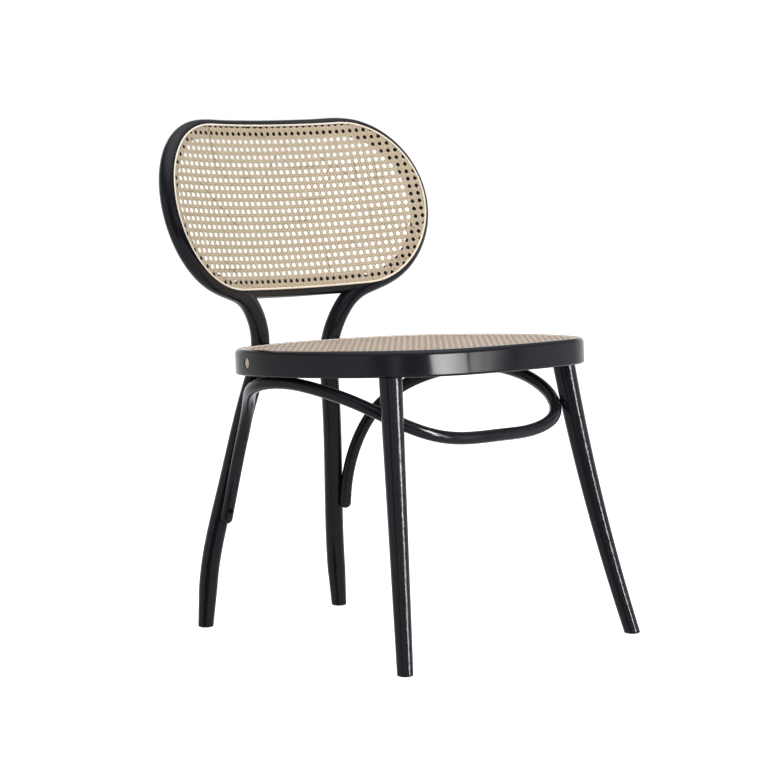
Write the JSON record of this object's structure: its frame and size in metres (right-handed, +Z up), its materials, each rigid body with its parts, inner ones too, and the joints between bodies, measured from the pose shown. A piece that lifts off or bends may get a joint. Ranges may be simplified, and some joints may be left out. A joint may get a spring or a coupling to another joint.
{
  "type": "bentwood dining chair",
  "caption": "Black bentwood dining chair with a rounded, curved caned back, a caned seat and a looped brace under the seat.",
  "frame": {"origin": "on the floor below the middle of the chair's bounding box", "axes": "+Z up, the sitter faces -Y, +X is at the right of the pictured front"},
  "size_m": [0.5814, 0.5804, 0.8073],
  "materials": {
    "black_lacquer": "bent beech under smooth black satin-gloss lacquer, no grain showing",
    "cane": "woven natural cane sheet with half-inch octagonal holes, matte pale straw",
    "reed": "smooth cream reed, matte",
    "bare_beech": "bare beech, not seen",
    "plated_steel": "zinc-plated steel",
    "black_steel": "black-oxide steel screws",
    "glide_steel": "dull nickel-plated steel",
    "brass_disc": "plain satin brass"
  },
  "bodies": {
    "root": {"back_bow": "black_lacquer", "back_rail": "black_lacquer", "back_cane": "cane", "back_reed": "reed", "seat_ring": "black_lacquer", "seat_cane": "cane", "seat_reed": "reed", "brass_disc": "brass_disc", "under_seat_brace": "black_lacquer", "front_leg_right": "black_lacquer", "front_leg_left": "black_lacquer", "rail_dowel_right": "bare_beech", "rail_dowel_left": "bare_beech", "tenon_pin_right": "bare_beech", "tenon_pin_left": "bare_beech", "post_bolt_right": "plated_steel", "post_bolt_left": "plated_steel", "post_bolt_washer_right": "plated_steel", "post_bolt_washer_left": "plated_steel", "post_bolt_nut_right": "plated_steel", "post_bolt_nut_left": "plated_steel", "brace_rear_screw_right": "black_steel", "brace_rear_screw_left": "black_steel", "brace_front_screw_right": "black_steel", "brace_front_screw_left": "black_steel", "brace_side_screw_right": "black_steel", "brace_side_screw_left": "black_steel", "rear_glide_right": "glide_steel", "rear_glide_left": "glide_steel", "front_glide_right": "glide_steel", "front_glide_left": "glide_steel"}
  },
  "joints": []
}
